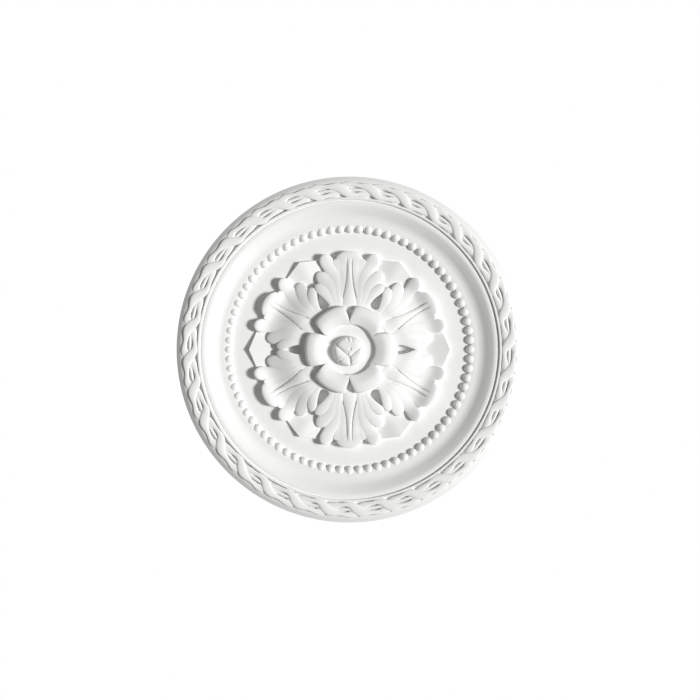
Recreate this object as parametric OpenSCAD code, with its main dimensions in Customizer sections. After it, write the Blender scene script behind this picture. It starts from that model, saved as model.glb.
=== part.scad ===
// Moulded ceiling rose: a flower in six acanthus leaves, a ring of beads, a cove and a twisted ribbon rim.
// It is built with its back on the bench, face up, and turned over at the end to hang from a ceiling.

/* [Overall] */
// Diameter over the rim
rose_d = 305; // [240:1:380]
// Thickness of the disc under the plain field
field_h = 9; // [6:0.5:14]
// Height of the flat bed under the ribbon, above the back
bed_h = 20; // [15:0.1:24]
// Height of the upright outer edge
edge_h = 17; // [8:0.1:19]

/* [Rim and cove] */
// Width of the sloping outer margin
margin_w = 5.4; // [4:0.1:9]
// Width of the twisted ribbon
ribbon_w = 13; // [10:0.5:16]
// Turn of the ribbon around the rose, in degrees
ribbon_turn = 3; // [0:0.25:11]
// Length of one twist of the ribbon along the rim
ribbon_pitch = 27.6; // [22:0.1:36]
// Height of the ribbon above its bed
ribbon_rise = 1.9; // [1.5:0.1:3]
// Width of the raised line inside the ribbon
line_w = 2.2; // [1.5:0.1:3]
// Height of the raised line above the ribbon's bed
line_rise = 0.9; // [0.5:0.1:1.5]
// Width of the cove
cove_w = 19.5; // [14:0.1:24]

/* [Beads] */
// Diameter of a bead
bead_d = 8.1; // [6:0.1:10]
// Gap between two beads
bead_gap = 0.3; // [0.2:0.1:1]
// Plain margin between the beads and the cove
bead_margin = 1.3; // [0.5:0.1:3]
// Step up from the plain field to the margin, under the beads
bead_step = 3.4; // [1:0.1:5]

/* [Leaves] */
// Plain field between the leaf tips and the beads
field_w = 16; // [12:0.5:24]
// Height of a leaf above the field where it springs from the flower
leaf_rise = 12; // [9:0.5:14]
// Height of a leaf above the field at its lowest dip
leaf_dip = 5; // [4:0.5:7]
// Height of a leaf above the field at its tip
leaf_tip = 9.6; // [7:0.1:11]
// Depth of the grooves on both sides of a leaf's rib
rib_groove = 1.1; // [0.6:0.1:1.6]
// Height of a back leaf above the field at its tip
back_tip = 5.4; // [4:0.1:6]

/* [Flower] */
// Radius over the petals
flower_r = 39.4; // [34:0.1:46]
// Height of the petals' crest above the back
petal_h = 29.4; // [27:0.1:34]
// Radius of the disc inside the petals
disc_r = 21.6; // [18:0.1:25]
// Radius of the bud
bud_r = 13.4; // [10:0.1:16]
// Height of the bud above the back, the rose's whole depth
rose_h = 31; // [29:0.5:36]

/* [Hidden] */
$fn = 180;

rose_r = rose_d / 2;
bed_out = rose_r - margin_w;
ribbon_r = bed_out - ribbon_w / 2;
line_out = bed_out - ribbon_w;
cove_out = line_out - line_w;
cove_in = cove_out - cove_w;
bead_ring_r = cove_in - bead_margin - bead_d / 2;
leaf_reach = bead_ring_r - bead_d / 2 - field_w;
// Middle of the eyes between the leaves, and the height of their floor above the field
eye_mid = 0.533 * leaf_reach;
eye_floor = 3;
// Depth to which the ornament is sunk into the disc that carries it
sink = 1;
// Depth of the dish under the petals' crest
petal_curl = 7;
// Fall of a petal from its crest to its inner edge, which stands above the dish
petal_slope = 2.9;
// Directions of the bud's three grooves
bud_grooves = [45, 150, 270];
// Small step in the outer edge: how far in, and how far down
step_w = 0.6;
step_h = 1;

// One closed solid from a grid of top points. Each row runs from left to right as the rows go forward.
// Walls go down from the sides and from the first and last row to a flat base.
module draped(rows, base) {
  n = len(rows);
  m = len(rows[0]);
  f = n * m;
  points = concat(
    [for (r = rows) for (p = r) p],
    [for (r = rows) for (p = [r[0], r[m - 1]]) [p[0], p[1], base]]
  );
  top = [
    for (i = [0:n - 2]) for (j = [0:m - 2]) for (half = [0, 1])
      half == 0
        ? [i * m + j, (i + 1) * m + j, (i + 1) * m + j + 1]
        : [i * m + j, (i + 1) * m + j + 1, i * m + j + 1]
  ];
  side = [
    for (i = [0:n - 2]) for (face = [0, 1, 2])
      face == 0 ? [i * m, f + 2 * i, f + 2 * i + 2, (i + 1) * m]
      : face == 1 ? [i * m + m - 1, (i + 1) * m + m - 1, f + 2 * i + 3, f + 2 * i + 1]
      : [f + 2 * i, f + 2 * i + 1, f + 2 * i + 3, f + 2 * i + 2]
  ];
  first = [for (j = [0:m - 2]) [j, j + 1, f]];
  last = [for (j = [0:m - 2]) [(n - 1) * m + j + 1, (n - 1) * m + j, f + 2 * n - 2]];
  corners = [[m - 1, f + 1, f], [n * m - 1, f + 2 * n - 2, f + 2 * n - 1]];
  polyhedron(points, concat(top, side, first, last, corners), convexity = 6);
}

// Smooth step from 0 to 1 between a and b
function ease(x, a, b) = let (t = min(1, max(0, (x - a) / (b - a)))) t * t * (3 - 2 * t);

/* Disc, cove and margin */
module disc() {
  lip_h = bed_h - 0.4;
  groove_h = bed_h - 0.9;
  groove_w = 0.8;
  rotate_extrude()
    polygon(concat(
      [
        [0, 0], [rose_r, 0], [rose_r, edge_h - step_h],
        [rose_r - step_w, edge_h - step_h], [rose_r - step_w, edge_h],
        [bed_out, bed_h], [line_out, bed_h],
        [line_out, bed_h + line_rise], [cove_out + 0.5, bed_h + line_rise], [cove_out, groove_h]
      ],
      [
        for (i = [0:12]) let (t = i / 12)
          [cove_out - groove_w - (cove_w - groove_w) * t, lip_h - (lip_h - field_h - bead_step) * ease(t, 0, 1)]
      ],
      [[bead_ring_r + 1, field_h + bead_step], [bead_ring_r - 1, field_h], [0, field_h]]
    ));
}

/* Ring of beads */
module beads() {
  count = floor(360 / (2 * asin((bead_d + bead_gap) / (2 * bead_ring_r))));
  for (i = [0:count - 1])
    rotate(360 * i / count)
      translate([bead_ring_r, 0, field_h + bead_d * 0.1])
        sphere(d = bead_d, $fn = 32);
}

/* Twisted ribbon: two strands in turn crossing over a straight rod */
strand_half = ribbon_w * 0.155;
sway = ribbon_w / 2 - strand_half;
rod_half = ribbon_w * 0.12;

// Height over the bed of a round bar of half width w, at distance d from its middle
function bar(d, w) = let (q = 1 - d * d / (w * w)) q > 0 ? sqrt(q) : 0;

// Height of one strand, at phase a (degrees, 0 where it crosses on top) and offset x across the band
function strand_h(a, x) =
  let (slope = atan(sway * cos(a) * PI / ribbon_pitch), lift = 0.62 + 0.38 * cos(a))
  lift * ribbon_rise * bar((x - sway * sin(a)) * cos(slope), strand_half * 1.15);

function ribbon_h(u, x) =
  max(0.3, strand_h(180 * u, x), strand_h(180 * (u + 1), x), 0.6 * ribbon_rise * bar(x, rod_half * 1.3));

module ribbon() {
  twists = 2 * round(PI * ribbon_r / ribbon_pitch);
  steps = 6;
  across = [-1, -0.72, -0.36, 0, 0.36, 0.72, 1];
  half = ribbon_w / 2 - 0.05;
  n = twists * steps;
  m = len(across);
  at = function (r, a, z) [r * cos(a), r * sin(a), z];
  tops = [
    for (i = [0:n - 1]) for (j = [0:m - 1])
      at(ribbon_r + across[j] * half, 360 * i / n, bed_h + ribbon_h(i / steps, across[j] * half))
  ];
  feet = [for (i = [0:n - 1]) for (s = [-1, 1]) at(ribbon_r + s * half, 360 * i / n, bed_h - sink)];
  top = [
    for (i = [0:n - 1]) let (k = (i + 1) % n) for (j = [0:m - 2]) for (h = [0, 1])
      h == 0 ? [i * m + j, k * m + j, k * m + j + 1] : [i * m + j, k * m + j + 1, i * m + j + 1]
  ];
  f = n * m;
  side = [
    for (i = [0:n - 1]) let (k = (i + 1) % n) for (h = [0, 1, 2])
      h == 0 ? [i * m, f + 2 * i, f + 2 * k, k * m]
      : h == 1 ? [i * m + m - 1, k * m + m - 1, f + 2 * k + 1, f + 2 * i + 1]
      : [f + 2 * i, f + 2 * i + 1, f + 2 * k + 1, f + 2 * k]
  ];
  polyhedron(concat(tops, feet), concat(top, side), convexity = 10);
}

/* Acanthus leaves */
// Each finger: base, control point and end of its middle line, then its half width at the base and at the
// round end, and where along it the round end starts. All are shares of the leaf's reach from the centre.
fingers = [
  [[0.102, 0.405], [0.106, 0.73], [0.287, 0.965], 0.032, 0.067, 0.84],
  [[0.132, 0.425], [0.142, 0.63], [0.331, 0.781], 0.036, 0.063, 0.78],
  [[0.172, 0.425], [0.203, 0.557], [0.347, 0.655], 0.030, 0.049, 0.74]
];
tip_finger = [[0, 0.405], [0, 0.7], [0, 1], 0.100, 0.142, 0.83];

// Half width of the rib, tapering from the flower to the tip
function rib_half(y) = leaf_reach * (0.019 + 0.061 * pow(1 - ease(y, 0.36, 0.86), 1.4));

// Height of the leaf's surface above the back, at share y of its reach
function leaf_h(y) =
  field_h + leaf_rise - (leaf_rise - leaf_dip) * ease(y, 0.54, 0.82)
  + (leaf_tip - leaf_dip) * ease(y, 0.82, 0.99) - 1.5 * (1 - ease(y, 0.36, 0.5));

function bezier(f, t) = (1 - t) * (1 - t) * f[0] + 2 * t * (1 - t) * f[1] + t * t * f[2];
function heading(f, t) = let (d = (1 - t) * (f[1] - f[0]) + t * (f[2] - f[1])) d / norm(d);
function finger_half(f, t) =
  (f[3] + (f[4] - f[3]) * ease(t, 0, 1)) * (t > f[5] ? sqrt(max(0, 1 - pow((t - f[5]) / (1 - f[5]), 2))) : 1);

// Places along a finger: even steps, then steps of the round end
function stations(f, plain) = concat(
  [for (i = [0:plain - 1]) f[5] * i / plain],
  [for (a = [0, 40, 72]) f[5] + (1 - f[5]) * sin(a)]
);

module finger(f, side) {
  across = [-1, -0.6, 0, 0.6, 1];
  rows = [
    for (t = stations(f, 4)) let (p = bezier(f, t), d = heading(f, t), w = finger_half(f, t))
      [
        for (s = across) let (q = p + side * s * w * [d[1], -d[0]])
          [side * q[0] * leaf_reach, q[1] * leaf_reach, leaf_h(p[1]) - (0.5 + 1.6 * t) * s * s]
      ]
  ];
  draped(rows, field_h - sink);
}

module tip_finger() {
  rows = [
    for (t = stations(tip_finger, 5)) let (
      y = bezier(tip_finger, t)[1], w = finger_half(tip_finger, t) * leaf_reach,
      g = min(rib_half(y), w * 0.8), v = min(g + 0.7, w * 0.87), o = min(g + 1.4, w * 0.94),
      z = leaf_h(y), cut = rib_groove * (1 - ease(y, 0.9, 0.96)), fall = 0.6 + 1.2 * t
    )
      [
        for (s = [[-w, z - fall], [-o, z - 0.1], [-v, z - cut], [-g, z], [0, z + 0.4],
          [g, z], [v, z - cut], [o, z - 0.1], [w, z - fall]])
          [s[0], y * leaf_reach, s[1]]
      ]
  ];
  draped(rows, field_h - sink);
}

module leaf() {
  tip_finger();
  for (f = fingers)
    for (side = [-1, 1])
      finger(f, side);
}

// Plain pointed leaf between two acanthus leaves: two facets that meet at a ridge and rise to the tip
module back_leaf() {
  half = 0.27 * leaf_reach;
  root = 0.55 * leaf_reach;
  shoulder = 0.91 * leaf_reach;
  draped([
    [[half, root, field_h + 1.6], [half, shoulder, field_h + back_tip - 1.8]],
    [[0, root, field_h + 3.6], [0, 1.022 * leaf_reach, field_h + back_tip]],
    [[-half, root, field_h + 1.6], [-half, shoulder, field_h + back_tip - 1.8]]
  ], field_h - sink);
}

// Teardrop hole between two acanthus leaves
module eye() {
  r = 0.047 * leaf_reach;
  translate([0, 0, field_h + eye_floor])
    linear_extrude(leaf_rise) {
      translate([0, eye_mid]) circle(r, $fn = 24);
      polygon([[-r * 0.96, eye_mid + r * 0.28], [r * 0.96, eye_mid + r * 0.28], [0, 0.7 * leaf_reach]]);
    }
}

/* Flower */
module petal() {
  steps = 6;
  rows = [
    for (i = [0:steps]) let (k = 2 * i / steps - 1, a = 29.2 * k)
      [
        for (t = [0, 0.2, 0.45, 0.7, 0.88, 1]) let (
          out = flower_r - 2.6 * pow(abs(k), 6),
          r = disc_r - 0.2 + (out - disc_r + 0.2) * t,
          slit = 3.4 * pow(max(0, t - 0.15) / 0.85, 1.6) * sign(k) * pow(abs(k), 4),
          b = a - asin(slit / r),
          z = petal_h - petal_slope * pow(1 - ease(t, 0, 0.75), 1.3) - 3.6 * pow(max(0, t - 0.6) / 0.4, 2)
            - 2.2 * pow(abs(k), 4) * t
        ) [r * sin(-b), r * cos(b), z]
      ]
  ];
  draped(rows, field_h - sink);
}

// Low dome, parted in three by grooves that run out from a small dimple near its top
module bud() {
  cap = rose_h - petal_h + petal_curl;
  ball = (bud_r * bud_r + cap * cap) / (2 * cap);
  difference() {
    rotate_extrude()
      intersection() {
        translate([0, rose_h - ball]) circle(ball);
        translate([0, field_h]) square([bud_r, rose_h]);
      }
    translate([0, -0.8, rose_h - 0.3])
      union() {
        sphere(r = 1.9, $fn = 32);
        for (a = bud_grooves)
          rotate(a)
            rotate([0, 82, 0])
              translate([0, 0, 0.7])
                cylinder(h = bud_r, r1 = 1, r2 = 1.3, $fn = 24);
      }
  }
}

// Shallow dish around the bud, which also closes the inner ends of the slits between the petals
module dish() {
  dish_h = petal_h - petal_curl;
  rotate_extrude()
    polygon([
      [0, field_h - sink], [disc_r + 3.4, field_h - sink], [disc_r + 3.4, dish_h - 0.4],
      [bud_r, dish_h], [0, dish_h]
    ]);
}

module flower() {
  for (i = [0:5])
    rotate(60 * i) petal();
  dish();
  bud();
}

module ornament() {
  difference() {
    union() {
      for (i = [0:5]) {
        rotate(60 * i) leaf();
        rotate(60 * i + 30) back_leaf();
      }
      cylinder(r = eye_mid, h = field_h + leaf_rise - 0.8, $fn = 72);
    }
    for (i = [0:5])
      rotate(60 * i + 30) eye();
  }
  flower();
}

module ceiling_rose() {
  color("white")
    rotate([180, 0, 0]) {
      disc();
      beads();
      rotate(ribbon_turn) ribbon();
      ornament();
    }
}

ceiling_rose();
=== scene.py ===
"""Looks of a moulded ceiling rose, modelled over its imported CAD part.

Every layer is modelled face up, in millimetres from the middle of the rose's back. The cast step joins the
layers and turns the whole over, because a ceiling rose hangs with its face down.
"""

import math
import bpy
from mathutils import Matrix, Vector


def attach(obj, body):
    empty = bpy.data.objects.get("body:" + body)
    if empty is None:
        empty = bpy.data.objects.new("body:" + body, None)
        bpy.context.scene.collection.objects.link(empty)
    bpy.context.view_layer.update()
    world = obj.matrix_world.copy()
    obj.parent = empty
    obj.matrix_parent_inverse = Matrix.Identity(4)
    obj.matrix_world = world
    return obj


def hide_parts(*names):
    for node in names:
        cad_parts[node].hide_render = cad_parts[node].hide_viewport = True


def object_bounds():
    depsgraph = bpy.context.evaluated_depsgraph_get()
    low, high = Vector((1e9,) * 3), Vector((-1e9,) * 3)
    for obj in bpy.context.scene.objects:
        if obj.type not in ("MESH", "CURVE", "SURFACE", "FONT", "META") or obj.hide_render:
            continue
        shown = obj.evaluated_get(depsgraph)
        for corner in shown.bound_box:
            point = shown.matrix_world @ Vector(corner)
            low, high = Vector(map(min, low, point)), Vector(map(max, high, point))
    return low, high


bl_info = {
    "name": "Moulded ceiling rose",
    "version": (1, 0, 0),
    "blender": (4, 5, 0),
    "location": "View3D > Sidebar > Ceiling rose",
    "description": "Models a moulded ceiling rose over its CAD part, and a stage to look at it from below",
    "category": "Add Mesh",
}

import bmesh
import bpy
import numpy as np
from mathutils import Matrix

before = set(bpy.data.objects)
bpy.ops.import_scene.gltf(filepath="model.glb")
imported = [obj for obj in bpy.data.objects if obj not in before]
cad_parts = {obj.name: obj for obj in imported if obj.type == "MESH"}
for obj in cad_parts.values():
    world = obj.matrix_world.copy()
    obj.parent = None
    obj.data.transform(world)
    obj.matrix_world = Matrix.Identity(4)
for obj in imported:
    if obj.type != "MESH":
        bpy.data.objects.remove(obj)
CAD_LOW, CAD_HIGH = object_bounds()

MM = 0.001
CAST_LAYERS = ("disc", "beads", "ribbon", "back_leaves", "leaves", "hub", "petals", "bud", "eye_floors")


def length(name, description, mm, low, high):
    """A size that a user can change, held in metres and given here in millimetres."""
    return bpy.props.FloatProperty(
        name=name,
        description=description,
        default=mm * MM,
        min=low * MM,
        max=high * MM,
        unit="LENGTH",
        precision=5,
    )


def colour(name, description, hex_value):
    """A colour that a user can change, given as an sRGB hex value."""
    return bpy.props.FloatVectorProperty(
        name=name,
        description=description,
        default=linear(hex_value),
        size=3,
        min=0,
        max=1,
        subtype="COLOR",
    )


def linear(hex_value):
    """An sRGB hex value as linear red, green and blue."""
    channels = [int(hex_value[i : i + 2], 16) / 255 for i in (1, 3, 5)]
    return [c / 12.92 if c <= 0.04045 else ((c + 0.055) / 1.055) ** 2.4 for c in channels]


class RoseSizes(bpy.types.PropertyGroup):
    """Sizes of the rose. The radius and the depth come from the CAD part."""

    radius: length("Radius", "From the middle to the outer edge", (CAD_HIGH.x - CAD_LOW.x) / 2 / MM, 120, 190)
    depth: length("Depth", "From the back to the top of the bud", (CAD_HIGH.z - CAD_LOW.z) / MM, 26, 40)
    field: length("Field thickness", "Disc under the plain field", 9, 6, 14)
    bed: length("Rim height", "Bed under the ribbon, above the back", 20, 15, 24)
    margin: length("Outer margin", "Width of the sloping outer margin", 5.4, 4, 9)
    edge: length("Edge height", "Height of the upright outer edge", 16.8, 8, 19)
    ribbon: length("Ribbon width", "Width of the twisted ribbon", 13, 10, 16)
    line: length("Raised line", "Width of the raised line inside the ribbon", 2.3, 1.5, 3)
    step: length("Bead step", "Margin outside the beads, above the plain field", 3.4, 1, 5)
    cove: length("Cove width", "From the raised line to the field", 19.4, 14, 24)
    bead: length("Bead diameter", "Diameter of one bead", 8.1, 6, 10)
    bead_gap: length("Bead gap", "Gap between two beads", 0.3, 0.2, 1)
    bead_margin: length("Bead margin", "Plain margin between the beads and the cove", 1.3, 0.5, 3)
    reach: length("Leaf reach", "From the middle to a leaf's tip", 87, 70, 100)
    leaf_rise: length("Leaf rise", "A leaf above the field beside the flower", 12, 9, 14)
    leaf_dip: length("Leaf dip", "A leaf above the field at its lowest", 5, 4, 7)
    leaf_tip: length("Leaf tip", "A leaf above the field at its curled tip", 9.6, 7, 11)
    back_tip: length("Back leaf tip", "A back leaf above the field at its tip", 5.4, 4, 6)
    flower: length("Flower radius", "Radius over the petals", 39.4, 34, 46)
    petal_top: length("Petal height", "Crest of the petals above the back", 29.4, 27, 34)
    dish: length("Dish radius", "Radius of the dish inside the petals", 22.5, 18, 25)
    dish_depth: length("Dish depth", "Dish below the crest of the petals", 7, 3, 8)
    bud: length("Bud radius", "Radius of the bud in the dish", 13.4, 10, 16)


class RoseFinish(bpy.types.PropertyGroup):
    """Colours and grain of the finish."""

    primer: colour("Primer", "White primer on the face", "#f3f3f2")
    primer_shade: colour("Primer, thin", "Primer where it lies thinner", "#eeeeec")
    foam: colour("Bare foam", "Foam skin on the back", "#e9e0c8")
    foam_shade: colour("Bare foam, deep", "Darker cells of the foam skin", "#dccfae")
    grain: length("Primer grain", "Width of the fine orange peel in the primer", 1.1, 0.3, 3)


class RoseStage(bpy.types.PropertyGroup):
    """Camera and light of the stage."""

    lens: bpy.props.FloatProperty(
        name="Lens",
        description="Focal length in millimetres",
        default=93,
        min=20,
        max=200,
        subtype="DISTANCE_CAMERA",
    )
    view_width: length("View width", "Width of the view at the rose's outer edge", 617, 300, 1500)
    floor_drop: length("Floor", "From the ceiling to the floor", 2400, 2000, 4000)
    light_height: bpy.props.FloatProperty(
        name="Light height",
        description="Angle of the main light above the rose's face",
        default=math.radians(45),
        min=math.radians(10),
        max=math.radians(85),
        subtype="ANGLE",
    )
    light_turn: bpy.props.FloatProperty(
        name="Light turn",
        description="Direction of the main light, from the right of the view towards its top",
        default=math.radians(-4),
        min=-math.pi,
        max=math.pi,
        subtype="ANGLE",
    )


def in_mm(group):
    """Every length of a property group, in millimetres, as plain attributes."""

    class Sizes:
        pass

    for name in group.__annotations__:
        setattr(Sizes, name, getattr(group, name) / MM)
    return Sizes


def ease(x, a, b):
    """Smooth step from 0 to 1 between a and b."""
    t = np.clip((np.asarray(x, float) - a) / (b - a), 0, 1)
    return t * t * (3 - 2 * t)


# Mesh helpers. A piece is (points, faces), with points in millimetres.


def shell(rows, base):
    """A closed solid under a grid of top points, with walls down to a flat base."""
    rows = np.asarray(rows, float)
    n, m = rows.shape[:2]
    points = [tuple(p) for p in rows.reshape(-1, 3)]
    at = lambda i, j: i * m + j
    faces = [
        (at(i, j), at(i, j + 1), at(i + 1, j + 1), at(i + 1, j)) for i in range(n - 1) for j in range(m - 1)
    ]
    rim = [at(0, j) for j in range(m)]
    rim += [at(i, m - 1) for i in range(1, n)]
    rim += [at(n - 1, j) for j in range(m - 2, -1, -1)]
    rim += [at(i, 0) for i in range(n - 2, 0, -1)]
    foot = len(points)
    points += [(points[k][0], points[k][1], base) for k in rim]
    count = len(rim)
    faces += [(rim[k], foot + k, foot + (k + 1) % count, rim[(k + 1) % count]) for k in range(count)]
    faces.append(tuple(foot + k for k in range(count - 1, -1, -1)))
    return points, faces


def ring_shell(rows, base):
    """A closed ring under a grid whose rows go once round the middle, each from the inner edge outwards."""
    rows = np.asarray(rows, float)
    n, m = rows.shape[:2]
    inner, outer = rows[:, 0].copy(), rows[:, -1].copy()
    inner[:, 2] = outer[:, 2] = base
    grid = np.concatenate([inner[:, None], rows, outer[:, None]], axis=1)
    m += 2
    points = [tuple(p) for p in grid.reshape(-1, 3)]
    at = lambda i, j: (i % n) * m + j % m
    faces = [(at(i, j), at(i, j + 1), at(i + 1, j + 1), at(i + 1, j)) for i in range(n) for j in range(m)]
    return points, faces


def dome(rings, base):
    """A closed cap from rings of points, the first of them shrunk to one point at the top."""
    n = len(rings[1])
    points = [tuple(rings[0])]
    for ring in rings[1:]:
        points += [tuple(p) for p in ring]
    points += [(p[0], p[1], base) for p in rings[-1]]
    at = lambda k, i: 1 + k * n + i % n
    faces = [(0, at(0, i), at(0, i + 1)) for i in range(n)]
    for k in range(len(rings) - 1):
        faces += [(at(k, i), at(k + 1, i), at(k + 1, i + 1), at(k, i + 1)) for i in range(n)]
    faces.append(tuple(at(len(rings) - 1, i) for i in range(n - 1, -1, -1)))
    return points, faces


def together(pieces):
    """Several pieces as one."""
    points, faces = [], []
    for p, f in pieces:
        start = len(points)
        points += p
        faces += [tuple(start + k for k in face) for face in f]
    return points, faces


def place(name, piece):
    """Makes the object of a piece, in metres."""
    old = bpy.data.objects.get(name)
    if old is not None:
        bpy.data.objects.remove(old)
    mesh = bpy.data.meshes.new(name)
    mesh.from_pydata([(x * MM, y * MM, z * MM) for x, y, z in piece[0]], [], piece[1])
    made = bpy.data.objects.new(name, mesh)
    bpy.context.scene.collection.objects.link(made)
    if not mesh.polygons:
        raise RuntimeError(f"{name} has no faces")
    return made


def add_node(tree, kind, inputs=None, **settings):
    """Adds a node with its settings, and sets or links its inputs, by name or by number."""
    made = tree.nodes.new(kind)
    for name, value in settings.items():
        setattr(made, name, value)
    for key, value in (inputs or {}).items():
        if isinstance(value, bpy.types.NodeSocket):
            tree.links.new(value, made.inputs[key])
        else:
            made.inputs[key].default_value = value
    return made


def ring_tree():
    """Copies of a piece around the middle of the rose, joined to each other where their ends meet."""
    name = "Copies around the middle"
    if name in bpy.data.node_groups:
        return bpy.data.node_groups[name]
    tree = bpy.data.node_groups.new(name, "GeometryNodeTree")
    sockets = (
        ("Geometry", "NodeSocketGeometry"),
        ("Count", "NodeSocketInt"),
        ("Turn", "NodeSocketFloat"),
        ("Weld", "NodeSocketFloat"),
        ("Finish", "NodeSocketMaterial"),
    )
    for label, kind in sockets:
        tree.interface.new_socket(label, in_out="INPUT", socket_type=kind)
    tree.interface.new_socket("Geometry", in_out="OUTPUT", socket_type="NodeSocketGeometry")
    given = add_node(tree, "NodeGroupInput").outputs
    points = add_node(tree, "GeometryNodeMeshLine", {"Count": given["Count"], "Offset": (0, 0, 0)})
    index = add_node(tree, "GeometryNodeInputIndex")
    step = add_node(tree, "ShaderNodeMath", {0: math.tau, 1: given["Count"]}, operation="DIVIDE")
    angle = add_node(
        tree,
        "ShaderNodeMath",
        {0: index.outputs[0], 1: step.outputs[0], 2: given["Turn"]},
        operation="MULTIPLY_ADD",
    )
    euler = add_node(tree, "ShaderNodeCombineXYZ", {"Z": angle.outputs[0]})
    turn = add_node(tree, "FunctionNodeEulerToRotation", {0: euler.outputs[0]})
    copies = add_node(
        tree,
        "GeometryNodeInstanceOnPoints",
        {"Points": points.outputs[0], "Instance": given["Geometry"], "Rotation": turn.outputs[0]},
    )
    real = add_node(tree, "GeometryNodeRealizeInstances", {0: copies.outputs[0]})
    weld = add_node(tree, "GeometryNodeMergeByDistance", {0: real.outputs[0], "Distance": given["Weld"]})
    finish = add_node(tree, "GeometryNodeSetMaterial", {0: weld.outputs[0], "Material": given["Finish"]})
    add_node(tree, "NodeGroupOutput", {0: finish.outputs[0]})
    return tree


def around(made, count, turn=0.0, weld=0.002):
    """Repeats an object's mesh around the middle, as a plain mesh. weld is in millimetres."""
    tree = ring_tree()
    ring = made.modifiers.new("Ring", "NODES")
    ring.node_group = tree
    values = {"Count": int(count), "Turn": float(turn), "Weld": weld * MM, "Finish": finish_material()}
    for item in tree.interface.items_tree:
        if item.in_out == "INPUT" and item.name in values:
            ring[item.identifier] = values[item.name]
    graph = bpy.context.evaluated_depsgraph_get()
    graph.update()
    mesh = bpy.data.meshes.new_from_object(made.evaluated_get(graph))
    made.modifiers.remove(ring)
    old, made.data = made.data, mesh
    bpy.data.meshes.remove(old)
    if not mesh.polygons:
        raise RuntimeError(f"{made.name} came out empty")
    return made


# Shapes


def cove_profile(s):
    """The disc's outline, from the middle of its face over the cove and the rim to the middle of its back."""
    bed_out = s.radius - s.margin
    line_out = bed_out - s.ribbon
    line_in = line_out - s.line
    lip_out = line_in - 0.9
    foot = line_in - s.cove + 0.3
    run = lip_out - 1.6 - foot
    # The cove: a hollow arc, a straight rise and a small rounded shoulder
    hollow = run * 0.48
    shoulder = run * 0.19
    steep, gentle = math.radians(37), math.radians(31)
    big = hollow / math.sin(steep)
    curve = [(foot + big * math.sin(a), big * (1 - math.cos(a))) for a in np.linspace(0, steep, 11)]
    for slope in np.linspace(steep, gentle, 5)[1:]:
        step = (run - hollow - shoulder) / 4
        curve.append((curve[-1][0] + step, curve[-1][1] + step * math.tan(slope)))
    small = shoulder / math.sin(gentle)
    x, z = curve[-1]
    curve += [
        (x + small * (math.sin(gentle) - math.sin(a)), z + small * (math.cos(a) - math.cos(gentle)))
        for a in np.linspace(gentle, 0, 7)[1:]
    ]
    rise = (s.bed - 0.7 - s.field - s.step) / curve[-1][1]
    beads = bead_ring(s)
    face = [(0, s.field), (s.reach * 0.5, s.field), (s.reach * 1.12, s.field)]
    face += [(beads - 1.2, s.field), (beads + 0.5, s.field + s.step - 0.3), (beads + 1.3, s.field + s.step)]
    face += [(x, s.field + s.step + z * rise) for x, z in curve]
    top = s.bed - 0.7
    bottom = s.edge
    rest = [
        (lip_out - 0.5, top - 0.05, 0.3),
        (lip_out + 0.35, top - 1.1, 0.12),
        (line_in + 0.1, top - 0.9, 0.1),
        (line_in + 0.2, s.bed + 0.9, 0.45),
        (line_out - 0.15, s.bed + 0.9, 0.45),
        (line_out, s.bed - 2.8, 0.12),
        (bed_out - 0.4, s.bed - 2.8, 0.12),
        (bed_out - 0.1, s.bed - 0.1, 0.2),
        (s.radius - s.margin * 0.5, s.bed - (s.bed - bottom) * 0.48, 0.25),
        (s.radius - s.margin * 0.5 + 0.15, s.bed - (s.bed - bottom) * 0.54, 0.15),
        (s.radius - 0.1, bottom, 0.5),
        (s.radius, bottom - 1.2, 0.3),
        (s.radius, 0, 0.7),
    ]
    return face + fillets([face[-1] + (0,)] + rest + [(0, 0, 0)])[1:]


def fillets(corners):
    """An outline with each corner (x, z, radius) rounded by four short steps."""
    out = [corners[0][:2]]
    for before, here, after in zip(corners, corners[1:], corners[2:]):
        b, h, a = (np.array(c[:2], float) for c in (before, here, after))
        u, v = (b - h) / np.linalg.norm(b - h), (a - h) / np.linalg.norm(a - h)
        turn = math.acos(float(np.clip(u @ v, -1, 1)))
        back = here[2] / max(math.tan(turn / 2), 1e-6)
        back = min(back, 0.45 * np.linalg.norm(b - h), 0.45 * np.linalg.norm(a - h))
        if back < 0.02:
            out.append(tuple(h))
            continue
        p, q = h + u * back, h + v * back
        out += [tuple((1 - t) ** 2 * p + 2 * t * (1 - t) * h + t * t * q) for t in np.linspace(0, 1, 4)]
    out.append(corners[-1][:2])
    return out


def disc_slice(s, count):
    """One slice of the turned disc, from the middle of its face to the middle of its back."""
    outline = cove_profile(s)
    step = math.tau / count
    points, left, right = [], [], []
    for r, z in outline:
        left.append(len(points))
        points.append((r, 0, z))
        if r > 0:
            right.append(len(points))
            points.append((r * math.cos(step), r * math.sin(step), z))
        else:
            right.append(left[-1])
    faces = []
    for k in range(len(outline) - 1):
        face = (left[k], left[k + 1], right[k + 1], right[k])
        faces.append(tuple(dict.fromkeys(face)))
    return points, faces


def bead_piece(s, r, centre):
    """One bead: a ball sunk a little under half into the field."""
    low = math.asin((centre - s.field + 0.4) / r)
    around_it = np.linspace(0, math.tau, 18, endpoint=False)
    ring_r = bead_ring(s)
    rings = [(ring_r, 0, centre + r)]
    for tilt in np.linspace(math.pi / 2, -low, 9)[1:]:
        out, z = r * math.cos(tilt), centre + r * math.sin(tilt)
        rings.append([(ring_r + out * math.cos(a), out * math.sin(a), z) for a in around_it])
    return dome(rings, s.field - 1)


def bead_ring(s):
    """Radius of the ring of beads."""
    return s.radius - s.margin - s.ribbon - s.line - s.cove + 0.15 - s.bead_margin - s.bead / 2


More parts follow.
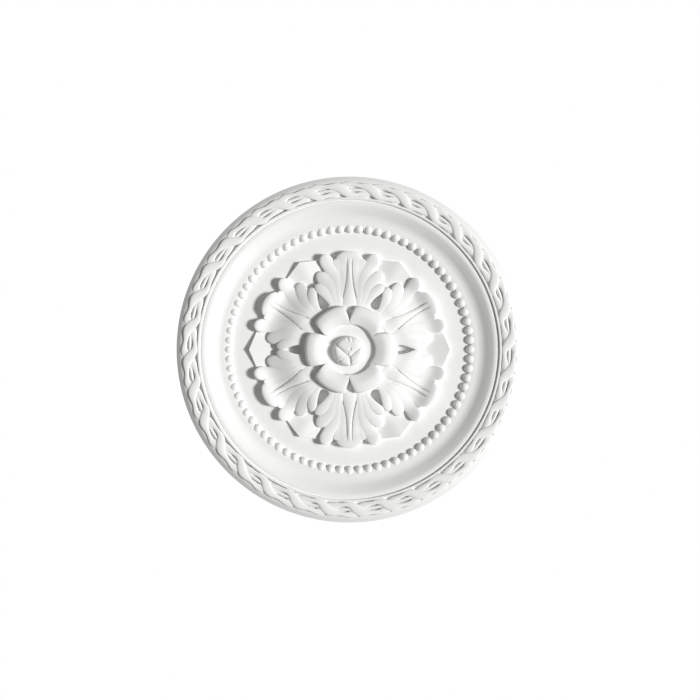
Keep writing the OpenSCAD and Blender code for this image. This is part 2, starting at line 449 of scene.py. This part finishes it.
def strand(s, ring_r, pitch, phase, steps):
    """One strand over one twist: it swings across the band, over the other strand or under it."""
    rows = []
    half_round = np.linspace(-math.radians(100), math.radians(100), 10)
    for u in np.linspace(0, 1, steps + 1):
        raw = math.pi * u + phase
        psi = raw + 0.2 * math.sin(2 * raw) - 0.45 * math.sin(raw) ** 2
        swing = 4.65 / 13 * s.ribbon
        x = swing * math.sin(psi) + 0.9 * math.cos(raw) ** 2
        dx = swing * math.cos(psi) * (1 + 0.4 * math.cos(2 * raw) - 0.45 * math.sin(2 * raw)) * math.pi
        lean = math.atan2(dx, pitch)
        z = s.bed - 0.7 + 0.6 * math.cos(raw)
        wide = (1.9 + 2.3 * math.cos(raw) ** 2) * s.ribbon / 13
        row = []
        for a in half_round:
            side = wide * math.sin(a)
            along = -side * math.sin(lean)
            across = side * math.cos(lean)
            crown = 1.8 * math.copysign(abs(math.cos(a)) ** 0.5, math.cos(a))
            row.append((u * pitch + along, ring_r + x + across, z + crown))
        rows.append(row)
    return bend(rows, ring_r, s.bed - 4)


def rod(s, ring_r, pitch, steps):
    """The straight rod that the strands cross over."""
    rows = []
    for u in np.linspace(0, 1, steps + 1):
        rows.append(
            [
                (u * pitch, ring_r + 1.5 * math.sin(a), s.bed - 1.1 + 1.65 * math.cos(a))
                for a in np.linspace(-math.radians(100), math.radians(100), 8)
            ]
        )
    return bend(rows, ring_r, s.bed - 4)


def bend(rows, ring_r, base):
    """Bends rows of points (along, radius, height) round the rose, as an open bar with a flat underside."""
    points, m = [], len(rows[0]) + 2
    for row in rows:
        row = [(row[0][0], row[0][1], base)] + row + [(row[-1][0], row[-1][1], base)]
        for along, r, z in row:
            a = along / ring_r
            points.append((r * math.cos(a), r * math.sin(a), z))
    faces = []
    for i in range(len(rows) - 1):
        for j in range(m):
            k = (j + 1) % m
            faces.append((i * m + j, i * m + k, (i + 1) * m + k, (i + 1) * m + j))
    return points, faces


# Fingers of a leaf's right side: start, control point and end of the middle line, then the half width at the
# start and at the round end, and where along it the round end begins. All are shares of the leaf's reach.
FINGERS = (
    ((0.102, 0.405), (0.108, 0.73), (0.281, 0.957), 0.036, 0.073, 0.84),
    ((0.132, 0.425), (0.145, 0.63), (0.335, 0.775), 0.040, 0.071, 0.78),
    ((0.162, 0.425), (0.198, 0.557), (0.352, 0.65), 0.032, 0.055, 0.74),
)
TIP_FINGER = ((0, 0.405), (0, 0.7), (0, 1), 0.100, 0.142, 0.83)
EYE_MID = 0.53
EYE_HALF = 0.054


def rib_half(s, y):
    """Half width of the rib, which tapers from the flower to the tip."""
    return s.reach * (0.019 + 0.061 * (1 - ease(y, 0.36, 0.86)) ** 1.4)


def leaf_height(s, y):
    """Height of a leaf's surface above the back, at share y of its reach."""
    return (
        s.field
        + s.leaf_rise
        - (s.leaf_rise - s.leaf_dip) * ease(y, 0.54, 0.82)
        + (s.leaf_tip - s.leaf_dip) * ease(y, 0.82, 0.99)
        - 0.5 * (1 - ease(y, 0.36, 0.5))
    )


def stations(end_at, plain, tip):
    """Places along a finger: even ones, then closer ones over its round end."""
    even = end_at * np.linspace(0, 1, plain, endpoint=False)
    return np.concatenate([even, end_at + (1 - end_at) * np.sin(np.linspace(0, math.radians(86), tip))])


def middle_line(f, t):
    """Point and direction of a finger's middle line."""
    p0, p1, p2 = (np.array(p, float) for p in f[:3])
    t = t[:, None]
    point = (1 - t) ** 2 * p0 + 2 * t * (1 - t) * p1 + t**2 * p2
    d = (1 - t) * (p1 - p0) + t * (p2 - p1)
    return point, d / np.linalg.norm(d, axis=1)[:, None]


def finger(s, f, side):
    """One rounded finger of a leaf, hollowed at its sides where it meets its neighbours."""
    t = stations(f[5], 20, 11)
    e = np.clip((t - f[5]) / (1 - f[5]), 0, 1)
    half = (f[3] + (f[4] - f[3]) * ease(t, 0, 1)) * np.sqrt(1 - e**2)
    point, d = middle_line(f, t)
    across = np.sin(np.linspace(-math.pi / 2, math.pi / 2, 15)) * side
    x = point[:, 0, None] + across * half[:, None] * d[:, 1, None]
    y = point[:, 1, None] - across * half[:, None] * d[:, 0, None]
    edge = e[:, None] ** 2 + (1 - e[:, None] ** 2) * across**2
    crown = (0.42 + 0.5 * ease(t, 0.4, 0.9))[:, None]
    roll = (0.1 + 0.8 * ease(t, 0.55, 0.9))[:, None]
    z = leaf_height(s, 0.4 * point[:, 1, None] + 0.6 * y) - crown * edge - roll * edge**5
    rows = np.stack([side * x * s.reach, y * s.reach, z], axis=2)
    return shell(rows, s.field - 1)


def tip_finger(s):
    """The leaf's middle finger, with a rib between two narrow grooves."""
    f = TIP_FINGER
    t = stations(f[5], 30, 13)
    e = np.clip((t - f[5]) / (1 - f[5]), 0, 1)
    point, _ = middle_line(f, t)
    rows = []
    for k in range(len(t)):
        y = point[k, 1]
        w = float((f[3] + (f[4] - f[3]) * ease(t[k], 0, 1)) * math.sqrt(1 - e[k] ** 2)) * s.reach
        g = min(float(rib_half(s, y)), 0.8 * w)
        groove = min(1.3, 0.6 * (w - g))
        cut = 2.0 * float(1 - ease(y, 0.87, 0.925))
        places = [0, 0.4 * g, 0.75 * g, g - 0.12 * min(1, g), g]
        depths = [0, 0, 0, 0.05, 0.3]
        places += [g + groove * q for q in (0.25, 0.5, 0.75, 1)]
        depths += [0.85, 1, 0.75, 0.1]
        rest = w - g - groove
        places += [g + groove + rest * q for q in (0.2, 0.45, 0.68, 0.86, 0.96, 1)]
        depths += [0, 0, 0, 0, 0, 0]
        row = []
        for x, down in zip(places, depths):
            edge = e[k] ** 2 + (1 - e[k] ** 2) * (x / w) ** 2
            z = float(leaf_height(s, y)) - (0.6 + 0.4 * t[k]) * edge - 0.6 * edge**5 - cut * down
            z += 0.5 * max(0, 1 - (x / g) ** 2) * float(1 - ease(y, 0.84, 0.925))
            row.append((x, y * s.reach, z))
        rows.append([(-x, y, z) for x, y, z in row[:0:-1]] + row)
    return shell(rows, s.field - 1)


# Half width of the web that joins the fingers, at shares of the reach. It ends where their slits start.
WEB = (
    (0.4, 0.19),
    (0.43, 0.195),
    (0.55, 0.222),
    (0.64, 0.246),
    (0.665, 0.235),
    (0.735, 0.175),
    (0.8, 0.174),
    (0.88, 0.176),
    (0.915, 0.155),
)


def web(s):
    """The surface that joins the fingers, so that only shallow flutes part them up to their slits."""
    places = np.linspace(WEB[0][0], WEB[-1][0], 34)
    widths = np.interp(places, [y for y, _ in WEB], [x for _, x in WEB])
    rows = []
    for y, half in zip(places, widths):
        inner = float(rib_half(s, y)) / s.reach + 0.016
        row = []
        for u in np.linspace(0, 1, 7):
            x = inner + (max(half, inner + 0.01) - inner) * u
            z = float(leaf_height(s, y)) - 0.2 - 0.3 * float(ease(y, 0.62, 0.85)) - 0.4 * u**6
            row.append((x * s.reach, y * s.reach, z))
        rows.append(row)
    mirrored = [[(-x, y, z) for x, y, z in row[::-1]] for row in rows]
    return together([shell(rows, s.field - 1), shell(mirrored, s.field - 1)])


def leaf_piece(s):
    """One acanthus leaf: its middle finger, three more on each side and the web between them."""
    return together([tip_finger(s), web(s)] + [finger(s, f, side) for f in FINGERS for side in (-1, 1)])


def back_leaf_piece(s):
    """A plain pointed leaf that shows between two others: two facets from a ridge, rising to the tip."""
    rows = []
    for v in np.concatenate([np.linspace(0, 0.98, 8), [0.993, 1.0]]):
        row = []
        for u in np.linspace(-1, 1, 13):
            y_end = 1.022 - 0.112 * abs(u)
            y = 0.62 + (y_end - 0.62) * v
            z = s.field + 0.6 + (s.back_tip - 0.6) * v - 4.6 * abs(u) - (0.3 if v == 1 else 0)
            row.append((u * 0.27 * s.reach, y * s.reach, z))
        rows.append(row)
    return shell(rows, s.field - 5)


# Soft lip of the hub: steps inwards from its edge, with the drop of the surface at each, in millimetres
HUB_LIP = ((26, 0), (8, 0), (4, 0), (2, 0.03), (1.1, 0.12), (0.5, 0.35), (0.15, 0.7), (0, 1.1))


def hub_piece(s):
    """The ground that the leaves spring from, scalloped at the six eyes, with a soft lip round each."""
    mid, half = EYE_MID * s.reach, EYE_HALF * s.reach
    reach_angle = math.asin(half / mid)
    sector = np.concatenate(
        [
            np.linspace(-math.pi / 6, -reach_angle, 12, endpoint=False),
            reach_angle * np.sin(np.linspace(-math.pi / 2, math.pi / 2, 25)),
            np.linspace(reach_angle, math.pi / 6, 12, endpoint=False)[1:],
        ]
    )
    rows = []
    for k in range(6):
        for a in sector:
            out = mid
            if abs(a) < reach_angle:
                out = mid * math.cos(a) - math.sqrt(max(0, half**2 - (mid * math.sin(a)) ** 2))
            angle = a + k * math.pi / 3
            row = []
            for inset, drop in HUB_LIP:
                r = out - inset
                row.append((r * math.cos(angle), r * math.sin(angle), s.field + s.leaf_rise - 0.5 - drop))
            rows.append(row)
    return ring_shell(rows, s.field - 1)


def eye_floor_piece(s):
    """The floor of one eye, a teardrop that points outwards along x."""
    mid, half = EYE_MID * s.reach, (EYE_HALF + 0.012) * s.reach
    outline = [(mid + half * math.cos(a), half * math.sin(a)) for a in np.linspace(0.9, math.tau - 0.9, 21)]
    outline.append((0.74 * s.reach, 0))
    rings = [(mid, 0, s.field + 1)]
    for share in (0.5, 0.8, 1):
        ring = []
        for x, y in outline:
            x = mid + (x - mid) * share
            climb = float(ease(x, mid + 0.5 * half, mid + 3 * half))
            ring.append((x, y * share, s.field + 1 + 3 * climb))
        rings.append(ring)
    return dome(rings, s.field - 1)


def petal_piece(s):
    """One petal: it stands up from the dish, climbs to a crest and rolls over at its outer edge."""
    rows = []
    for k in np.sin(np.linspace(-math.pi / 2, math.pi / 2, 37)):
        row = []
        for t in np.concatenate([[0, 0.012, 0.035], np.linspace(0.08, 0.94, 18), [0.965, 0.985, 1]]):
            out = s.flower - 2.4 * abs(k) ** 5 - 1.6 * abs(k) ** 14
            start = s.dish - 0.9 * abs(k) ** 3
            r = start + (out - start) * t
            slit = 3.6 * (max(0, t - 0.12) / 0.88) ** 1.6 * k * abs(k) ** 3
            angle = math.radians(29.95) * k - math.asin(slit / r)
            z = s.petal_top
            z -= 2.9 * max(0, 1 - t / 0.55) ** 1.5
            z -= 0.5 * max(0, 1 - t / 0.035) ** 2
            z -= 1.9 * (max(0, t - 0.55) / 0.45) ** 2 + 2.6 * (max(0, t - 0.86) / 0.14) ** 3
            z -= 1.8 * k**4 * t + 0.45 * k**12
            row.append((r * math.cos(angle), r * math.sin(angle), z))
        rows.append(row)
    return shell(rows, s.field - 1)


# The bud sits a little aside of the flower's middle, in millimetres
BUD_OFFSET = (-0.9, -1.4)
# Grooves and nicks that part the bud: start, end, half width and depth, in millimetres from its middle
BUD_CUTS = (
    ((0.5, -5.2), (-14.0, 7.4), 1.0, 2.0),
    ((0.5, -5.2), (14.0, 6.6), 0.55, 1.0),
    ((1.0, -5.2), (1.9, -13.6), 0.85, 1.8),
    ((1.5, 2.2), (1.5, 1.6), 0.8, 1.6),
    ((-0.2, -0.4), (-1.2, -4.6), 0.5, 0.8),
    ((-1.7, 13.2), (0.0, 8.9), 0.6, 1.1),
    ((2.6, 12.6), (3.6, 8.8), 0.6, 1.1),
    ((-8.7, -10.4), (-8.1, -8.8), 0.9, 1.4),
    ((-11.2, -5.9), (-7.6, -5.4), 0.55, 0.8),
    ((-7.6, -8.4), (-5.2, -6.8), 0.5, 0.8),
)


def bud_piece(s):
    """The dish and the bud in it: a low dome of three lobes."""
    dish_h = s.petal_top - s.dish_depth
    cap = s.depth - dish_h
    angles = np.linspace(0, math.tau, 128, endpoint=False)

    def bud_height(x, y):
        r = math.hypot(x, y) / s.bud
        z = dish_h + (cap - 0.6) * max(0, 1 - r**8) ** 0.4
        nearest, cut = 99, 0
        for number, (a, b, width, depth) in enumerate(BUD_CUTS):
            a, b = np.array(a), np.array(b)
            share = float(np.clip((np.array((x, y)) - a) @ (b - a) / ((b - a) @ (b - a)), 0, 1))
            gap = math.dist((x, y), a + share * (b - a))
            if number < 3:
                nearest = min(nearest, gap)
            cut = max(cut, depth * math.exp(-((gap / width) ** 2)))
        lobe = 0.6 * (1 - math.exp(-((nearest / 2.8) ** 2)))
        fade = max(0, 1 - r**14)
        return z + (lobe - cut) * fade

    aside, down = BUD_OFFSET
    rings = [(aside, down, bud_height(0, 0))]
    for share in np.linspace(1, 33, 33) / 33:
        r = s.bud * math.sin(share * math.pi / 2)
        circle = [r * np.array((math.cos(a), math.sin(a))) for a in angles]
        rings.append([(x + aside, y + down, bud_height(x, y)) for x, y in circle])
    # Rings of the dish: radius, 1 if it sits aside with the bud, and height above the dish
    dish = ((s.bud + 0.3, 1, -0.1), (s.bud + 1.2, 1, -0.15), (s.dish - 2.5, 0, 0), (s.dish + 2, 0, 0.1))
    for r, held, z in dish:
        x, y = aside * held, down * held
        rings.append([(r * math.cos(a) + x, r * math.sin(a) + y, dish_h + z) for a in angles])
    return dome(rings, s.field - 1)


# Finishes


def noise(tree, where, scale, detail):
    """Soft noise over the object, with scale in repeats per metre."""
    settings = {"Vector": where, "Scale": scale, "Detail": float(detail)}
    return add_node(tree, "ShaderNodeTexNoise", settings).outputs["Fac"]


def mixed(tree, factor, a, b, kind):
    """a where the factor is 0, and b where it is 1."""
    mix = add_node(tree, "ShaderNodeMix", {"Factor": factor, "A": a, "B": b}, data_type=kind)
    return mix.outputs["Result"]


def finish_material():
    """Primed polyurethane foam, cast in a smooth mould. The face has a thin, even coat of white acrylic
    primer: matt, with a faint sheen, a very fine orange peel and slow changes of tone where the coat lies
    thinner. The back has no primer and shows the foam's cream skin, with its small open cells."""
    name = "Primed polyurethane foam"
    if name in bpy.data.materials:
        return bpy.data.materials[name]
    finish = bpy.context.scene.rose_finish
    made = bpy.data.materials.new(name)
    made.use_nodes = True
    tree = made.node_tree
    tree.nodes.clear()
    where = add_node(tree, "ShaderNodeTexCoord").outputs["Object"]
    height = add_node(tree, "ShaderNodeSeparateXYZ", {0: where}).outputs["Z"]
    # The back lies in the plane of the ceiling, at height 0; the face and the edge are all below it
    back = add_node(tree, "ShaderNodeMath", {0: height, 1: -0.0003}, operation="GREATER_THAN").outputs[0]
    # Slow changes of the coat, 35 mm across
    coat = noise(tree, where, 1 / 0.035, 2)
    # Foam cells are about 0.2 mm; they are drawn 0.9 mm wide, or the view wouldn't show them
    cells = add_node(tree, "ShaderNodeTexVoronoi", {"Vector": where, "Scale": 1 / 0.0009}).outputs["Distance"]
    skin = noise(tree, where, 1 / 0.012, 4)
    face = mixed(tree, coat, (*finish.primer_shade, 1), (*finish.primer, 1), "RGBA")
    bare = mixed(tree, skin, (*finish.foam_shade, 1), (*finish.foam, 1), "RGBA")
    tone = mixed(tree, back, face, bare, "RGBA")
    # Primer dries a little glossier where it lies thick
    coated = add_node(tree, "ShaderNodeMapRange", {"Value": coat, "To Min": 0.62, "To Max": 0.52})
    rough = mixed(tree, back, coated.outputs["Result"], 0.85, "FLOAT")
    relief = mixed(tree, back, noise(tree, where, 1 / finish.grain, 1), cells, "FLOAT")
    fine = add_node(tree, "ShaderNodeBump", {"Strength": 0.5, "Distance": 0.00002, "Height": relief})
    # Shrinkage leaves the broad faces very slightly uneven
    uneven = {"Strength": 0.5, "Distance": 0.00012, "Height": coat, "Normal": fine.outputs[0]}
    slow = add_node(tree, "ShaderNodeBump", uneven)
    shader = add_node(
        tree,
        "ShaderNodeBsdfPrincipled",
        {
            "Base Color": tone,
            "Roughness": rough,
            "IOR": 1.46,
            "Specular IOR Level": 0.35,
            "Normal": slow.outputs[0],
        },
    )
    add_node(tree, "ShaderNodeOutputMaterial", {"Surface": shader.outputs[0]})
    return made


def floor_material():
    """Pale painted screed: matt, with a slow cloudiness."""
    made = bpy.data.materials.new("Pale painted screed")
    made.use_nodes = True
    tree = made.node_tree
    tree.nodes.clear()
    where = add_node(tree, "ShaderNodeTexCoord").outputs["Object"]
    cloud = noise(tree, where, 1.5, 3)
    tone = mixed(tree, cloud, (*linear("#e4e3e0"), 1), (*linear("#ebebe9"), 1), "RGBA")
    shader = add_node(tree, "ShaderNodeBsdfPrincipled", {"Base Color": tone, "Roughness": 0.8})
    add_node(tree, "ShaderNodeOutputMaterial", {"Surface": shader.outputs[0]})
    return made


# Operators


class ROSE_OT_disc(bpy.types.Operator):
    """Turn the disc with its field, cove, raised line and sloping margin"""

    bl_idname = "rose.disc"
    bl_label = "Disc and cove"

    def execute(self, context):
        count = 240
        around(place("disc", disc_slice(in_mm(context.scene.rose_sizes), count)), count)
        return {"FINISHED"}


class ROSE_OT_beads(bpy.types.Operator):
    """Set the ring of beads on the field"""

    bl_idname = "rose.beads"
    bl_label = "Beads"

    def execute(self, context):
        s = in_mm(context.scene.rose_sizes)
        count = int(math.tau / (2 * math.asin((s.bead + s.bead_gap) / (2 * bead_ring(s)))))
        around(place("beads", bead_piece(s, s.bead / 2, s.field + 0.1 * s.bead)), count)
        return {"FINISHED"}


class ROSE_OT_ribbon(bpy.types.Operator):
    """Twist two strands over a rod, all round the rim"""

    bl_idname = "rose.ribbon"
    bl_label = "Twisted ribbon"

    def execute(self, context):
        s = in_mm(context.scene.rose_sizes)
        ring_r = s.radius - s.margin - s.ribbon / 2
        count = 32
        pitch = math.tau * ring_r / count
        unit = [strand(s, ring_r, pitch, 0, 18), strand(s, ring_r, pitch, math.pi, 18)]
        # Two twists make one turn, after which each strand is back on its own side
        unit += [turned(p, pitch / ring_r) for p in unit[::-1]]
        unit += [rod(s, ring_r, 2 * pitch, 12)]
        around(place("ribbon", together(unit)), count // 2, turn=math.radians(3))
        return {"FINISHED"}


def turned(piece, angle):
    """A piece turned round the middle."""
    c, n = math.cos(angle), math.sin(angle)
    return [(c * x - n * y, n * x + c * y, z) for x, y, z in piece[0]], piece[1]


class ROSE_OT_leaves(bpy.types.Operator):
    """Carve six acanthus leaves, with plain back leaves between them and the hub under them"""

    bl_idname = "rose.leaves"
    bl_label = "Leaves"

    def execute(self, context):
        s = in_mm(context.scene.rose_sizes)
        around(place("leaves", leaf_piece(s)), 6)
        around(place("back_leaves", back_leaf_piece(s)), 6, turn=math.radians(30))
        around(place("eye_floors", eye_floor_piece(s)), 6)
        place("hub", hub_piece(s))
        return {"FINISHED"}


class ROSE_OT_flower(bpy.types.Operator):
    """Carve the flower: six petals, the dish inside them and the bud"""

    bl_idname = "rose.flower"
    bl_label = "Flower"

    def execute(self, context):
        s = in_mm(context.scene.rose_sizes)
        around(place("petals", petal_piece(s)), 6)
        place("bud", bud_piece(s))
        return {"FINISHED"}


class ROSE_OT_cast(bpy.types.Operator):
    """Cast all layers as the one piece that the rose is, turn it face down and give it its finish"""

    bl_idname = "rose.cast"
    bl_label = "Cast in one piece"

    def execute(self, context):
        cast = bmesh.new()
        for name in CAST_LAYERS:
            layer = bpy.data.objects.get(name)
            if layer is None:
                raise RuntimeError(f"{name} isn't made yet")
            cast.from_mesh(layer.data)
            bpy.data.meshes.remove(layer.data)
        bmesh.ops.transform(cast, matrix=Matrix.Rotation(math.pi, 4, "X"), verts=cast.verts)
        bmesh.ops.triangulate(cast, faces=[f for f in cast.faces if len(f.verts) > 4])
        bmesh.ops.recalc_face_normals(cast, faces=cast.faces)
        mesh = bpy.data.meshes.new("rose_moulding")
        cast.to_mesh(mesh)
        cast.free()
        for face in mesh.polygons:
            face.use_smooth = True
            face.material_index = 0
        mesh.set_sharp_from_angle(angle=math.radians(40))
        mesh.materials.clear()
        mesh.materials.append(finish_material())
        rose = bpy.data.objects.new("rose_moulding", mesh)
        context.scene.collection.objects.link(rose)
        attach(rose, "root")
        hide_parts("ceiling_rose")
        return {"FINISHED"}


FLOOR_HALF = 40.0
# Strength of each light, and its softness in degrees
MAIN_LIGHT = (3.22, 12)
BACK_LIGHT = (1.9, 30)
# Strength of the light from all round
ROOM_LIGHT = 0.17


class ROSE_OT_stage(bpy.types.Operator):
    """Set the camera under the rose, soft light from one side and a pale floor far below"""

    bl_idname = "rose.stage"
    bl_label = "Stage"

    def execute(self, context):
        scene = context.scene
        stage = scene.rose_stage
        sizes = scene.rose_sizes
        data = bpy.data.cameras.new("View from below")
        data.lens = stage.lens
        data.sensor_width = 36
        camera = bpy.data.objects.new("View from below", data)
        distance = stage.lens * stage.view_width / 36
        camera.location = (0.0004, 0.0004, -sizes.edge - distance)
        camera.rotation_euler = (math.pi, 0, 0)
        scene.collection.objects.link(camera)
        scene.camera = camera

        # The floor passes light, because the main light shines up from below the rose
        mesh = bpy.data.meshes.new("floor")
        corners = [(x * FLOOR_HALF, y * FLOOR_HALF) for x, y in ((-1, -1), (1, -1), (1, 1), (-1, 1))]
        mesh.from_pydata([(x, y, -stage.floor_drop) for x, y in corners], [], [(0, 1, 2, 3)])
        mesh.materials.append(floor_material())
        floor = bpy.data.objects.new("floor", mesh)
        floor.visible_shadow = False
        floor.visible_diffuse = False
        scene.collection.objects.link(floor)

        self.sun(scene, "Main light", stage.light_turn, -stage.light_height, *MAIN_LIGHT)
        # A weaker light from above shows the back when the rose is off the ceiling
        self.sun(scene, "Light on the back", math.radians(-50), math.radians(50), *BACK_LIGHT)

        world = bpy.data.worlds.new("White studio")
        world.use_nodes = True
        tree = world.node_tree
        tree.nodes.clear()
        ray = add_node(tree, "ShaderNodeLightPath").outputs["Is Camera Ray"]
        soft = add_node(tree, "ShaderNodeBackground", {"Color": (1, 1, 1, 1), "Strength": ROOM_LIGHT})
        white = add_node(tree, "ShaderNodeBackground", {"Color": (1, 1, 1, 1), "Strength": 1.0})
        both = add_node(tree, "ShaderNodeMixShader", {0: ray, 1: soft.outputs[0], 2: white.outputs[0]})
        add_node(tree, "ShaderNodeOutputWorld", {0: both.outputs[0]})
        scene.world = world
        scene.view_settings.view_transform = "Standard"
        return {"FINISHED"}

    def sun(self, scene, name, turn, height, strength, softness):
        """A far, soft light. turn goes from the right of the view from below towards its top, and height
        goes up from level. softness is in degrees."""
        data = bpy.data.lights.new(name, "SUN")
        data.energy = strength
        data.angle = math.radians(softness)
        light = bpy.data.objects.new(name, data)
        light.rotation_euler = (math.pi / 2 - height, 0, math.pi / 2 - turn)
        scene.collection.objects.link(light)


class ROSE_PT_panel(bpy.types.Panel):
    """Sizes, finish and steps of the ceiling rose"""

    bl_idname = "ROSE_PT_panel"
    bl_label = "Ceiling rose"
    bl_space_type = "VIEW_3D"
    bl_region_type = "UI"
    bl_category = "Ceiling rose"

    def draw(self, context):
        for group in (context.scene.rose_sizes, context.scene.rose_finish, context.scene.rose_stage):
            column = self.layout.column(align=True)
            for name in group.__annotations__:
                column.prop(group, name)
        for step in STEPS:
            self.layout.operator(step.bl_idname)


GROUPS = (("rose_sizes", RoseSizes), ("rose_finish", RoseFinish), ("rose_stage", RoseStage))
STEPS = (
    ROSE_OT_disc,
    ROSE_OT_beads,
    ROSE_OT_ribbon,
    ROSE_OT_leaves,
    ROSE_OT_flower,
    ROSE_OT_cast,
    ROSE_OT_stage,
)


def register():
    for name, group in GROUPS:
        bpy.utils.register_class(group)
        setattr(bpy.types.Scene, name, bpy.props.PointerProperty(type=group))
    for step in STEPS + (ROSE_PT_panel,):
        bpy.utils.register_class(step)


def unregister():
    for step in reversed(STEPS + (ROSE_PT_panel,)):
        bpy.utils.unregister_class(step)
    for name, group in reversed(GROUPS):
        delattr(bpy.types.Scene, name)
        bpy.utils.unregister_class(group)


def main():
    register()
    bpy.ops.rose.disc()
    bpy.ops.rose.beads()
    bpy.ops.rose.ribbon()
    bpy.ops.rose.leaves()
    bpy.ops.rose.flower()
    bpy.ops.rose.cast()
    bpy.ops.rose.stage()


if __name__ == "__main__":
    main()
